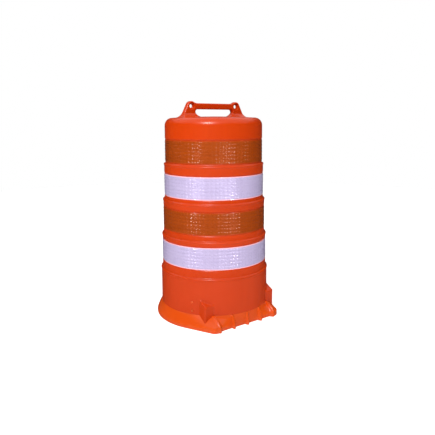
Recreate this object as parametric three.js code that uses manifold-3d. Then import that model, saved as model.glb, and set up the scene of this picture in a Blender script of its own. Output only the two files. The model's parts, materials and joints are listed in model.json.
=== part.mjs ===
// A two-piece traffic drum: a hollow stepped plastic shell with a moulded carrying handle and four
// wrap-round reflective bands, snapped over a low ballasted base that has one flat, ribbed side.
// Units are millimetres and +Z is up. The origin is on the drum's axis at the underside of the base.
// +X runs along the handle, and -Y points out of the flat, ribbed side of the base.

import * as THREE from "three";
import { mergeVertices } from "three/addons/utils/BufferGeometryUtils.js";
import Module from "manifold-3d";

const wasm = await Module();
wasm.setup();

// ---------------------------------------------------------------- driving dimensions

const GAP = 0.4; // air between neighbouring pieces that touch on the real drum
const SEGMENTS = 60; // facets round every turned piece

// Shell: tiers are numbered from the top, and each lower tier is a little wider than the one above.
const WALL = 3.2;
const DRUM_RADIUS = 260.5; // at the foot of the lowest tier
const TIER_STEPS = [30.5, 24, 16, 8, 0]; // how much narrower than that each tier's foot is
const TIER_DRAFT = 1.5; // how much narrower a tier is at its top than at its foot
const LOW_TIER_HEIGHT = 166; // from the ledge that the shell stands on to the lowest ridge
const RIDGE_PITCH = 167;
const TOP_TIER_HEIGHT = 176; // from the highest ridge to the start of the rounded shoulder
const RIDGE_BEAD = 2; // how far the rounded ridge stands out of its own tier
const RIDGE_HALF_HEIGHT = 6;
const SHOULDER_RADIUS = 35.5;
const CROWN_RISE = 5.5; // the top is slightly domed to shed water

// Reflective bands
const BAND_HEIGHT = 101.6;
const BAND_LOW_SHARE = 0.0688; // the highest band's part of its tier's spare height that is below it
const BAND_SHARE_STEP = 0.2227; // how much that part grows from one band to the next lower one
const BAND_THICKNESS = 1;
const BAND_RECESS = 1.6; // depth of the panel that each band lies in
const BAND_MARGIN = 2; // space above and below a band in its panel
const BAND_LAP = 28; // overlap of a band's two ends, at the back
const BAND_NAMES = [
  "orange_band_upper",
  "white_band_upper",
  "orange_band_lower",
  "white_band_lower",
];

// Handle: a flat plate with a grip slot and two ears, each with a hole for a warning light's bolt.
const HANDLE_THICKNESS = 24;
const HANDLE_BEVEL = 5;
const EAR_SPACING = 252; // between the two bolt holes
const EAR_RISE = 51.5; // of the bolt holes above the shoulder
const EAR_RADIUS = 22;
const EAR_HOLE_RADIUS = 8;
const EAR_PAD_RADIUS = 15;
const EAR_PAD_THICKNESS = 8;
const GRIP_RISE = 64.5; // of the grip's upper face above the shoulder
const GRIP_DEPTH = 27;
const SLOT_TOP_HALF = 106;
const SLOT_FOOT_HALF = 92;
const SLOT_CORNER = 11;
const FOOT_HALF_SPAN = 184; // outer end of the handle's feet, at the top of the drum
const FOOT_FLARE = 84; // width of the feet where they fair into the top

// Base
const BASE_WALL = 4;
const BASE_FLOOR = 5;
const SKIRT_WIDTH = 24.5; // from the shell's wall to the round part of the base's outline
const FLAT_INSET = 18; // how much nearer the axis the flat side is than the round part
const FLAT_CORNER_RADIUS = 30;
const CORNER_OUT = 34.7; // how far the two corners stand outside the round part
const LEDGE_HEIGHT = 62; // the shell stands on this
const RIM_HEIGHT = 12; // plain upright edge of the round skirt
const CORNER_RIM_HEIGHT = 27; // the same edge at the two corners
const SKIRT_FULLNESS = 1.75; // 2 is a straight slope, 1 a quarter ellipse
const COLLAR_RISE = 26; // of the collar above the ledge
const RIB_PITCH = 79;
const POCKET_COUNT = 4; // hollows between the ribs and the corners of the flat side
const RIB_WIDTH = 16;
const POCKET_DEPTH = 8;

// Lock blocks: two square corners that stand out of the shell beside the flat side.
const BLOCK_OUT = 31.24; // from the shell's wall to a block's corner
const BLOCK_BEARING = 43.82; // of that corner, round the axis from the middle of the flat side
const BLOCK_DEPTH = 46; // how far back the sloping top of a block runs
const BLOCK_EDGE_RISE = 49; // of the top's low edge above the ledge
const BLOCK_BACK_RISE = 72; // of its high edge
const FIT = 1.2; // clearance of the base's collar and posts inside the shell

// Spring clips that grip the posts, and the rivets that hold them. Angles are in degrees round
// the axis from the middle of the flat side.
const CLIP_THICKNESS = 1.5;
const CLIP_HEIGHT = 56;
const CLIP_STANDOFF = 1.6; // from the shell, so that the clip can rock on its bend
const CLIP_ROOT_ANGLE = 60.5;
const CLIP_BEND_ANGLE = 56.2;
const CLIP_TIP_ANGLE = 42;
const CLIP_LEAD = 5; // how far the free end turns inwards
const RIVET_RISES = [17, 58]; // above the ledge
const RIVET_ANGLE = 58.4;
const RIVET_SHANK = 2.5;
const RIVET_HEAD_RADIUS = 5;
const RIVET_HEAD_HEIGHT = 3;

// Ballast
const BALLAST_THICKNESS = 30;
const BALLAST_COUNT = 2;
const BALLAST_BORE = 45;
const BALLAST_CLEARANCE = 6; // to the clips' free ends, so that they can spring inwards

// ---------------------------------------------------------------- values that follow

const TIER_RADIUS = TIER_STEPS.map((step) => DRUM_RADIUS - step);
const LOWEST = TIER_RADIUS.length - 1;
const FOOT_RADIUS = TIER_RADIUS[LOWEST];
const ridgeHeight = (tier) => LEDGE_HEIGHT + LOW_TIER_HEIGHT + RIDGE_PITCH * (LOWEST - tier);
const SHELL_FOOT = LEDGE_HEIGHT + GAP;
const SHOULDER_START = ridgeHeight(1) + TOP_TIER_HEIGHT;
const SHOULDER_TOP = SHOULDER_START + SHOULDER_RADIUS;
const EAR_HEIGHT = SHOULDER_TOP + EAR_RISE;
const GRIP_TOP = SHOULDER_TOP + GRIP_RISE;
const SKIRT_RADIUS = FOOT_RADIUS + SKIRT_WIDTH;
const FLAT_DISTANCE = SKIRT_RADIUS - FLAT_INSET;
const CORNER_REACH = SKIRT_RADIUS + CORNER_OUT;
const COLLAR_HEIGHT = LEDGE_HEIGHT + COLLAR_RISE;
const BLOCK_X = (FOOT_RADIUS + BLOCK_OUT) * Math.sin((BLOCK_BEARING * Math.PI) / 180);
const BLOCK_Y = (FOOT_RADIUS + BLOCK_OUT) * Math.cos((BLOCK_BEARING * Math.PI) / 180);
const BLOCK_EDGE_HEIGHT = LEDGE_HEIGHT + BLOCK_EDGE_RISE;
const BLOCK_BACK_HEIGHT = LEDGE_HEIGHT + BLOCK_BACK_RISE;
const RIVET_HEIGHTS = RIVET_RISES.map((rise) => LEDGE_HEIGHT + rise);
const COLLAR_RADIUS = FOOT_RADIUS - WALL - FIT;
const PAN_RADIUS = COLLAR_RADIUS - BASE_WALL;
const CLIP_MIDDLE = (RIVET_HEIGHTS[0] + RIVET_HEIGHTS[1]) / 2;
const POST_BACK_RADIUS = COLLAR_RADIUS - 8;
const CLIP_INNER_RADIUS = POST_BACK_RADIUS - GAP - CLIP_THICKNESS;

// Each band lies in the flat panel between two ridges, and shares out the height that it leaves.
function bandTop(i) {
  const edge = RIDGE_HALF_HEIGHT + BAND_MARGIN;
  const spare = RIDGE_PITCH - 2 * edge - BAND_HEIGHT;
  const below = edge + spare * (BAND_LOW_SHARE + BAND_SHARE_STEP * i);
  return ridgeHeight(i + 1) + below + BAND_HEIGHT;
}

// ---------------------------------------------------------------- materials

const plastic = (color, roughness) =>
  new THREE.MeshStandardMaterial({ color, roughness, metalness: 0 });
const orangePlastic = plastic(0xe2501c, 0.42);
const whiteSheeting = plastic(0xd6cfe6, 0.3);
const orangeSheeting = plastic(0xb4561c, 0.3);
const blackRubber = plastic(0x1c1b1a, 0.9);
const springSteel = new THREE.MeshStandardMaterial({
  color: 0xb8bcc0,
  roughness: 0.35,
  metalness: 1,
});

// ---------------------------------------------------------------- helpers

function solid(geometry) {
  const g = geometry.index ? geometry.toNonIndexed() : geometry.clone();
  g.deleteAttribute("normal");
  g.deleteAttribute("uv");
  const merged = mergeVertices(g, 1e-3);
  return new wasm.Manifold(
    new wasm.Mesh({
      numProp: 3,
      vertProperties: merged.attributes.position.array,
      triVerts: new Uint32Array(merged.index.array),
    }),
  );
}

function mesh(name, shape, material) {
  const m = shape.getMesh();
  const positions = new Float32Array(m.numVert * 3);
  for (let i = 0; i < m.numVert; i++)
    positions.set(m.vertProperties.subarray(i * m.numProp, i * m.numProp + 3), i * 3);
  const geometry = new THREE.BufferGeometry();
  geometry.setAttribute("position", new THREE.BufferAttribute(positions, 3));
  geometry.setIndex(new THREE.BufferAttribute(m.triVerts, 1));
  const made = new THREE.Mesh(geometry, material);
  made.name = name;
  return made;
}

// A solid of revolution about Z from [radius, height] pairs that run anticlockwise.
function turned(profile, segments = SEGMENTS) {
  const points = profile.map(([r, z]) => new THREE.Vector2(r, z));
  return solid(new THREE.LatheGeometry(points, segments).rotateX(Math.PI / 2));
}

const disc = (radius, low, high, segments = SEGMENTS) =>
  turned([[0, low], [radius, low], [radius, high], [0, high]], segments);

const ring = (inner, outer, low, high) =>
  turned([[inner, low], [outer, low], [outer, high], [inner, high], [inner, low]]);

function box(x0, x1, y0, y1, z0, z1) {
  const g = new THREE.BoxGeometry(x1 - x0, y1 - y0, z1 - z0);
  return solid(g.translate((x0 + x1) / 2, (y0 + y1) / 2, (z0 + z1) / 2));
}

// A closed solid through rings of points, lowest first, each ring anticlockwise from above.
function lofted(rings) {
  const count = rings[0].length;
  const positions = [];
  const face = (...corners) => corners.forEach((p) => positions.push(p.x, p.y, p.z));
  for (let k = 0; k + 1 < rings.length; k++)
    for (let i = 0; i < count; i++) {
      const j = (i + 1) % count;
      face(rings[k][i], rings[k][j], rings[k + 1][j]);
      face(rings[k][i], rings[k + 1][j], rings[k + 1][i]);
    }
  const lid = (points, up) => {
    const middle = points.reduce((s, p) => s.add(p), new THREE.Vector3());
    middle.divideScalar(count);
    for (let i = 0; i < count; i++) {
      const [a, b] = [points[i], points[(i + 1) % count]];
      if (up) face(a, b, middle);
      else face(b, a, middle);
    }
  };
  lid(rings[0], false);
  lid(rings[rings.length - 1], true);
  const geometry = new THREE.BufferGeometry();
  geometry.setAttribute("position", new THREE.Float32BufferAttribute(positions, 3));
  return solid(geometry);
}

const radians = THREE.MathUtils.degToRad;
// Angle round the axis, in degrees from the middle of the flat side towards +X.
const around = (degrees, radius) =>
  new THREE.Vector2(Math.sin(radians(degrees)), -Math.cos(radians(degrees))).multiplyScalar(radius);
const union = (solids) => solids.reduce((a, b) => a.add(b));
const mirrored = (shape) => shape.mirror([1, 0, 0]);

// ---------------------------------------------------------------- shell

// Radius of a tier's plain outer wall at a height.
function tierRadius(tier, height) {
  const foot = tier === LOWEST ? SHELL_FOOT : ridgeHeight(tier + 1);
  const top = tier === 0 ? SHOULDER_START : ridgeHeight(tier);
  return TIER_RADIUS[tier] - (TIER_DRAFT * (height - foot)) / (top - foot);
}

// The outside of the shell from its foot to the middle of its crown.
function shellProfile() {
  const points = [[0, SHELL_FOOT], [FOOT_RADIUS, SHELL_FOOT]];
  for (let tier = LOWEST; tier > 0; tier--) {
    const top = ridgeHeight(tier);
    const above = tierRadius(tier - 1, top);
    const below = tierRadius(tier, top);
    const half = RIDGE_HALF_HEIGHT;
    if (tier < LOWEST) points.push(...bandPanel(tier));
    points.push(
      [below, top - half],
      [below + RIDGE_BEAD, top - half / 3],
      [below + RIDGE_BEAD, top + half / 3],
      [above, top + half],
    );
  }
  points.push(...bandPanel(0));
  const crownRadius = TIER_RADIUS[0] - TIER_DRAFT - SHOULDER_RADIUS;
  for (let i = 0; i <= 4; i++) {
    const a = (i / 4) * (Math.PI / 2);
    points.push([
      crownRadius + SHOULDER_RADIUS * Math.cos(a),
      SHOULDER_START + SHOULDER_RADIUS * Math.sin(a),
    ]);
  }
  points.push([crownRadius / 2, SHOULDER_TOP + CROWN_RISE * 0.75], [0, SHOULDER_TOP + CROWN_RISE]);
  return points;
}

// Band i lies on tier i, in a shallow panel with short sloping edges.
function bandPanel(i) {
  const low = bandTop(i) - BAND_HEIGHT - BAND_MARGIN;
  const high = bandTop(i) + BAND_MARGIN;
  const radius = (z) => tierRadius(i, z);
  return [
    [radius(low - BAND_RECESS), low - BAND_RECESS],
    [radius(low) - BAND_RECESS, low],
    [radius(high) - BAND_RECESS, high],
    [radius(high + BAND_RECESS), high + BAND_RECESS],
  ];
}

// The hollow follows the tiers but not the ridges and panels.
function shellHollow() {
  const points = [[0, SHELL_FOOT - 20], [FOOT_RADIUS - WALL, SHELL_FOOT - 20]];
  for (let tier = LOWEST; tier > 0; tier--) {
    const z = ridgeHeight(tier);
    points.push([tierRadius(tier, z) - WALL, z - 12], [tierRadius(tier - 1, z) - WALL - 1.4, z + 4]);
  }
  const crownRadius = TIER_RADIUS[0] - TIER_DRAFT - SHOULDER_RADIUS;
  const inner = SHOULDER_RADIUS - WALL;
  for (let i = 0; i <= 3; i++) {
    const a = (i / 3) * (Math.PI / 2);
    points.push([crownRadius - 1 + inner * Math.cos(a), SHOULDER_START + inner * Math.sin(a)]);
  }
  points.push([0, SHOULDER_TOP + CROWN_RISE - WALL - 1]);
  return turned(points);
}

// One square lock block at -X, from the skirt up to its sloping top, shrunk on its outer faces.
function lockBlock(shrink, low) {
  const slope = (BLOCK_BACK_HEIGHT - BLOCK_EDGE_HEIGHT) / BLOCK_DEPTH;
  const front = -BLOCK_Y + shrink;
  const back = -BLOCK_Y + BLOCK_DEPTH * 2;
  const drop = shrink * Math.hypot(1, slope) - slope * shrink;
  const outline = new THREE.Shape();
  outline.moveTo(front, low);
  outline.lineTo(back, low);
  outline.lineTo(back, BLOCK_EDGE_HEIGHT + slope * (back + BLOCK_Y) - drop);
  outline.lineTo(front, BLOCK_EDGE_HEIGHT + slope * shrink - drop);
  const width = BLOCK_X - shrink - 90;
  const g = new THREE.ExtrudeGeometry(outline, { depth: width, bevelEnabled: false });
  // The outline's x and y become Y and Z, and its depth runs along X.
  g.applyMatrix4(new THREE.Matrix4().set(0, 0, 1, -BLOCK_X + shrink, 1, 0, 0, 0, 0, 1, 0, 0, 0, 0, 0, 1));
  return solid(g);
}

// The handle's side view, in X and Z.
function handleOutline() {
  const half = EAR_SPACING / 2;
  const low = SHOULDER_TOP - 16;
  const shape = new THREE.Shape();
  shape.moveTo(-FOOT_HALF_SPAN, low);
  shape.lineTo(FOOT_HALF_SPAN, low);
  shape.lineTo(FOOT_HALF_SPAN, SHOULDER_TOP);
  shape.lineTo(FOOT_HALF_SPAN - 9, SHOULDER_TOP + 6);
  const start = 0.48; // where the leg's straight outer edge meets the ear
  const end = Math.PI - Math.asin((GRIP_TOP - EAR_HEIGHT + 3) / EAR_RADIUS);
  shape.absarc(half, EAR_HEIGHT, EAR_RADIUS, start, end, false);
  shape.lineTo(half - EAR_RADIUS - 6, GRIP_TOP);
  shape.lineTo(-half + EAR_RADIUS + 6, GRIP_TOP);
  shape.absarc(-half, EAR_HEIGHT, EAR_RADIUS, Math.PI - end, Math.PI - start, false);
  shape.lineTo(-FOOT_HALF_SPAN + 9, SHOULDER_TOP + 6);
  shape.lineTo(-FOOT_HALF_SPAN, SHOULDER_TOP);
  return shape;
}

function gripSlot() {
  const top = GRIP_TOP - GRIP_DEPTH;
  const foot = SHOULDER_TOP + 3;
  const r = SLOT_CORNER;
  const slot = new THREE.Shape();
  slot.moveTo(-SLOT_FOOT_HALF + r, foot);
  slot.lineTo(SLOT_FOOT_HALF - r, foot);
  slot.quadraticCurveTo(SLOT_FOOT_HALF, foot, SLOT_FOOT_HALF + 3, foot + r);
  slot.lineTo(SLOT_TOP_HALF - 3, top - r);
  slot.quadraticCurveTo(SLOT_TOP_HALF, top, SLOT_TOP_HALF - r, top);
  slot.lineTo(-SLOT_TOP_HALF + r, top);
  slot.quadraticCurveTo(-SLOT_TOP_HALF, top, -SLOT_TOP_HALF + 3, top - r);
  slot.lineTo(-SLOT_FOOT_HALF - 3, foot + r);
  slot.quadraticCurveTo(-SLOT_FOOT_HALF, foot, -SLOT_FOOT_HALF + r, foot);
  return slot;
}

// Stands an outline drawn in X and Z upright, centred on the plane Y = 0.
function upright(shape, thickness, bevel) {
  const g = new THREE.ExtrudeGeometry(shape, {
    depth: thickness - 2 * bevel,
    bevelEnabled: bevel > 0,
    bevelThickness: bevel,
    bevelSize: bevel,
    bevelOffset: -bevel,
    bevelSegments: 2,
    curveSegments: 6,
  });
  g.translate(0, 0, -(thickness - 2 * bevel) / 2);
  return solid(g.rotateX(Math.PI / 2));
}

// The foot at +X: it widens downwards so that it fairs into the top of the drum.
function handleFoot() {
  const section = (z, inner, outer, width) => {
    const points = [];
    const [middle, length] = [(inner + outer) / 2, (outer - inner) / 2];
    for (let i = 0; i < 16; i++) {
      const a = (i / 16) * 2 * Math.PI;
      const round = (v) => Math.sign(v) * Math.abs(v) ** 0.6;
      const x = middle + length * round(Math.cos(a));
      points.push(new THREE.Vector3(x, (width / 2) * round(Math.sin(a)), z));
    }
    return points;
  };
  const low = SHOULDER_TOP - 12;
  const thick = HANDLE_THICKNESS - 4;
  const flare = FOOT_FLARE - thick;
  return lofted([
    section(low, SLOT_FOOT_HALF - 6, FOOT_HALF_SPAN + 4, FOOT_FLARE + 20),
    section(SHOULDER_TOP + 3, SLOT_FOOT_HALF - 4, FOOT_HALF_SPAN, FOOT_FLARE),
    section(SHOULDER_TOP + 9, SLOT_FOOT_HALF + 4, FOOT_HALF_SPAN - 8, thick + flare * 0.5),
    section(SHOULDER_TOP + 20, SLOT_FOOT_HALF + 10, FOOT_HALF_SPAN - 18, thick + flare * 0.16),
    section(SHOULDER_TOP + 34, SLOT_FOOT_HALF + 16, FOOT_HALF_SPAN - 30, thick),
  ]);
}

function handle() {
  const plate = upright(handleOutline(), HANDLE_THICKNESS, HANDLE_BEVEL);
  const foot = handleFoot();
  let made = plate.add(foot).add(mirrored(foot));
  made = made.subtract(upright(gripSlot(), FOOT_FLARE + 30, 0));
  const across = (radius, y0, y1, x) =>
    disc(radius, 0, y1 - y0, 24).rotate([-90, 0, 0]).translate([x, y0, EAR_HEIGHT]);
  const half = HANDLE_THICKNESS;
  for (const x of [-EAR_SPACING / 2, EAR_SPACING / 2]) {
    const pad = EAR_PAD_THICKNESS / 2;
    made = made.subtract(across(EAR_PAD_RADIUS, pad, half, x));
    made = made.subtract(across(EAR_PAD_RADIUS, -half, -pad, x));
    made = made.subtract(across(EAR_HOLE_RADIUS, -half, half, x));
  }
  return made;
}

// A short cylinder whose axis is radial, from one radius to another.
function radialDisc(radius, from, to, degrees, height, segments = 16) {
  const [x, y] = around(degrees, 1);
  const turn = (Math.atan2(y, x) * 180) / Math.PI;
  return disc(radius, from, to, segments).rotate([0, 90, 0]).rotate([0, 0, turn]).translate([0, 0, height]);
}

function shell() {
  const block = lockBlock(0, RIM_HEIGHT + 8);
  const hollowBlock = lockBlock(WALL, RIM_HEIGHT);
  let outside = turned(shellProfile());
  outside = outside.add(block).add(mirrored(block)).add(handle());
  let made = outside.subtract(union([shellHollow(), hollowBlock, mirrored(hollowBlock)]));
  const seat = flange(0, GAP);
  made = made.subtract(seat).subtract(disc(FOOT_RADIUS - WALL - 0.01, -1, SHELL_FOOT));
  for (const height of RIVET_HEIGHTS)
    for (const side of [-1, 1])
      made = made.subtract(
        radialDisc(RIVET_SHANK + GAP, FOOT_RADIUS - 12, FOOT_RADIUS + 8, side * RIVET_ANGLE, height),
      );
  return made;
}

// ---------------------------------------------------------------- reflective bands

function band(i) {
  const low = bandTop(i) - BAND_HEIGHT;
  const high = bandTop(i);
  const inner = (z) => tierRadius(i, z) - BAND_RECESS + GAP;
  const strip = turned([
    [inner(low), low],
    [inner(low) + BAND_THICKNESS, low],
    [inner(high) + BAND_THICKNESS, high],
    [inner(high), high],
    [inner(low), low],
  ]);
  const over = turned([
    [inner(low) + BAND_THICKNESS / 2, low],
    [inner(low) + BAND_THICKNESS * 1.8, low],
    [inner(high) + BAND_THICKNESS * 1.8, high],
    [inner(high) + BAND_THICKNESS / 2, high],
    [inner(low) + BAND_THICKNESS / 2, low],
  ]);
  const back = TIER_RADIUS[i];
  return strip.add(over.intersect(box(-BAND_LAP / 2, BAND_LAP / 2, back - 20, back + 20, low - 1, high + 1)));
}

// ---------------------------------------------------------------- base

// The outline of the base: a circle with one flat side, and a straight run from the circle to each
// corner. Points run anticlockwise, and the straight runs are cut into short steps.
function outlinePoints(grow) {
  const corner = FLAT_CORNER_RADIUS;
  const level = -FLAT_DISTANCE + corner;
  const across = Math.sqrt((CORNER_REACH - corner) ** 2 - level ** 2);
  const centre = new THREE.Vector2(across, level);
  const bearing = Math.atan2(centre.y, centre.x);
  const tangent = bearing + Math.acos((SKIRT_RADIUS - corner) / centre.length());
  const points = [];
  const arc = (x, y, radius, from, to, steps) => {
    for (let i = 0; i <= steps; i++) {
      const a = from + ((to - from) * i) / steps;
      points.push(new THREE.Vector2(x + radius * Math.cos(a), y + radius * Math.sin(a)));
    }
  };
  arc(centre.x, centre.y, corner + grow, -Math.PI / 2, tangent, 5);
  arc(0, 0, SKIRT_RADIUS + grow, tangent, Math.PI - tangent, 40);
  arc(-centre.x, centre.y, corner + grow, Math.PI - tangent, 1.5 * Math.PI, 5);
  const spread = [];
  points.forEach((p, i) => {
    const q = points[(i + 1) % points.length];
    const steps = Math.max(1, Math.round(p.distanceTo(q) / 36));
    for (let k = 0; k < steps; k++) spread.push(p.clone().lerp(q, k / steps));
  });
  return spread;
}

// The skirt: a rim with a slightly rounded foot, and a slope from the rim up to the shell's wall.
// Radial distances are shared between the wall and the outline, which is grown by the first value.
function flange(grow, raise = 0, radius = FOOT_RADIUS, top = LEDGE_HEIGHT) {
  const outline = outlinePoints(grow);
  const at = (p, share, z) => {
    const reach = p.length();
    const r = radius + (reach - radius) * share;
    return new THREE.Vector3((p.x / reach) * r, (p.y / reach) * r, z);
  };
  const rimHeight = (p) => {
    const full = (p.length() - grow - SKIRT_RADIUS) / (CORNER_REACH - SKIRT_RADIUS);
    const share = THREE.MathUtils.clamp(full, 0, 1);
    return RIM_HEIGHT + (CORNER_RIM_HEIGHT - RIM_HEIGHT) * share;
  };
  const foot = outline.map((p) => at(p.clone().setLength(p.length() - 4), 1, raise));
  const rings = [foot, outline.map((p) => at(p, 1, raise + 6))];
  const steps = 5;
  for (let k = 0; k <= steps; k++) {
    const a = (k / steps) * (Math.PI / 2);
    const [out, up] = [Math.cos(a) ** SKIRT_FULLNESS, Math.sin(a) ** SKIRT_FULLNESS];
    rings.push(outline.map((p) => at(p, out, rimHeight(p) + (top - rimHeight(p)) * up + raise)));
  }
  return lofted(rings);
}

// Bars across the flat side where it is hollowed between its ribs, grown all round by a margin.
function pocketBars(margin) {
  const half = (RIB_PITCH - RIB_WIDTH) / 2 + margin;
  const bars = [];
  for (let i = 0; i < POCKET_COUNT; i++) {
    const x = RIB_PITCH * (i - (POCKET_COUNT - 1) / 2);
    bars.push(box(x - half, x + half, -CORNER_REACH, -160, -1, LEDGE_HEIGHT - 0.5 + margin));
  }
  return union(bars);
}

// Each pocket is cut down to a skirt that is smaller by the pocket's depth.
const pockets = () => pocketBars(0).subtract(flange(-POCKET_DEPTH));

// A trough under the skirt, open to the ground. It keeps its distance from the pockets.
function flangeHollow() {
  const under = flange(-BASE_WALL, -BASE_WALL, FOOT_RADIUS - BASE_WALL);
  const depth = POCKET_DEPTH + BASE_WALL;
  const deeper = flange(-depth, -BASE_WALL, FOOT_RADIUS - BASE_WALL);
  return under.subtract(pocketBars(BASE_WALL).subtract(deeper));
}

// The post that fills a lock block at -X, reaching in as far as the spring clip.
function lockPost() {
  const filled = lockBlock(WALL + FIT, 20);
  return filled.subtract(disc(POST_BACK_RADIUS, 0, 200));
}

function basePan() {
  const post = lockPost();
  let made = flange(0).subtract(pockets()).subtract(flangeHollow());
  made = made.add(disc(COLLAR_RADIUS, 0, COLLAR_HEIGHT));
  made = made.add(ring(COLLAR_RADIUS - 1, FOOT_RADIUS, LEDGE_HEIGHT - BASE_WALL, LEDGE_HEIGHT));
  // A window in the collar leaves room for the root of each spring clip.
  const window = clipWindow();
  made = made.subtract(window).subtract(mirrored(window));
  made = made.add(post).add(mirrored(post));
  return made.subtract(disc(PAN_RADIUS, BASE_FLOOR, COLLAR_HEIGHT + 1));
}

function clipWindow() {
  const [inner, outer] = [PAN_RADIUS - 6, FOOT_RADIUS + 1];
  const outline = new THREE.Shape();
  const from = -Math.PI / 2 - radians(RIVET_ANGLE + 7);
  const to = -Math.PI / 2 - radians(CLIP_TIP_ANGLE + 7);
  outline.absarc(0, 0, outer, from, to, false);
  outline.absarc(0, 0, inner, to, from, true);
  const low = LEDGE_HEIGHT + 3;
  const g = new THREE.ExtrudeGeometry(outline, { depth: 60, bevelEnabled: false, curveSegments: 6 });
  return solid(g.translate(0, 0, low));
}

// ---------------------------------------------------------------- clips, rivets and ballast

// A leaf of spring steel at -X: its root lies on the shell, and its free end presses on the post.
function springClip() {
  const root = FOOT_RADIUS - WALL - CLIP_STANDOFF - CLIP_THICKNESS;
  const tip = CLIP_INNER_RADIUS;
  const second = CLIP_BEND_ANGLE - 2.4;
  const middle = (second + CLIP_TIP_ANGLE) / 2;
  const degrees = [CLIP_ROOT_ANGLE, CLIP_BEND_ANGLE, second, middle, CLIP_TIP_ANGLE + 1.5, CLIP_TIP_ANGLE];
  const radii = [root, root, tip, tip, tip, tip - CLIP_LEAD];
  const face = (out) => degrees.map((d, i) => around(-d, radii[i] + out));
  const outline = new THREE.Shape([...face(CLIP_THICKNESS), ...face(0).reverse()]);
  const g = new THREE.ExtrudeGeometry(outline, { depth: CLIP_HEIGHT, bevelEnabled: false });
  let made = solid(g.translate(0, 0, CLIP_MIDDLE - CLIP_HEIGHT / 2));
  for (const height of RIVET_HEIGHTS)
    made = made.subtract(
      radialDisc(RIVET_SHANK + GAP, FOOT_RADIUS - 30, FOOT_RADIUS + 8, -RIVET_ANGLE, height),
    );
  return made;
}

// A drive rivet with a domed head outside the shell and a flared tail inside the clip.
function rivet(side, height) {
  const head = FOOT_RADIUS + GAP;
  const tail = FOOT_RADIUS - WALL - 2 * GAP - CLIP_THICKNESS - 1.6;
  const profile = [
    [0, tail - 2.2],
    [3.2, tail - 2.2],
    [4.6, tail],
    [RIVET_SHANK, tail],
    [RIVET_SHANK, head],
    [RIVET_HEAD_RADIUS, head],
    [RIVET_HEAD_RADIUS * 0.86, head + RIVET_HEAD_HEIGHT * 0.6],
    [RIVET_HEAD_RADIUS * 0.45, head + RIVET_HEAD_HEIGHT * 0.94],
    [0, head + RIVET_HEAD_HEIGHT],
  ];
  const [x, y] = around(side * RIVET_ANGLE, 1);
  const turn = (Math.atan2(y, x) * 180) / Math.PI;
  return turned(profile, 16).rotate([0, 90, 0]).rotate([0, 0, turn]).translate([0, 0, height]);
}

function ballastRing(i) {
  const low = BASE_FLOOR + GAP + i * (BALLAST_THICKNESS + GAP);
  const outer = CLIP_INNER_RADIUS - CLIP_LEAD - BALLAST_CLEARANCE;
  return ring(BALLAST_BORE, outer, low, low + BALLAST_THICKNESS);
}

// ---------------------------------------------------------------- assembly

const drum = new THREE.Group();
drum.add(mesh("drum_shell", shell(), orangePlastic));
BAND_NAMES.forEach((name, i) => {
  drum.add(mesh(name, band(i), name.startsWith("white") ? whiteSheeting : orangeSheeting));
});
const clip = springClip();
drum.add(mesh("spring_clip_left", clip, springSteel));
drum.add(mesh("spring_clip_right", mirrored(clip), springSteel));
for (const [side, label] of [[-1, "left"], [1, "right"]])
  RIVET_HEIGHTS.forEach((height, i) => {
    const place = i === 0 ? "lower" : "upper";
    drum.add(mesh(`rivet_${label}_${place}`, rivet(side, height), orangePlastic));
  });

const base = new THREE.Group();
base.add(mesh("base_pan", basePan(), orangePlastic));
const places = ["lower", "upper"];
for (let i = 0; i < BALLAST_COUNT; i++)
  base.add(mesh(`ballast_ring_${places[i] ?? i}`, ballastRing(i), blackRubber));

const barrier = new THREE.Group();
barrier.add(base, drum);

export default barrier;
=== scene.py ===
# %% [markdown]
# # A two-piece traffic drum
# The finished solids are loaded first, as a frame that fixes every place and size. The pieces
# that show are then modelled more finely around them: the moulded shell with its handle, the four
# reflective bands, the base with its ribbed flat side, the ballast, the rivets and the clips.

# %% Load the frame
import json
import math

import bmesh
import bpy
import numpy as np
from mathutils import Matrix, Vector

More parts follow.
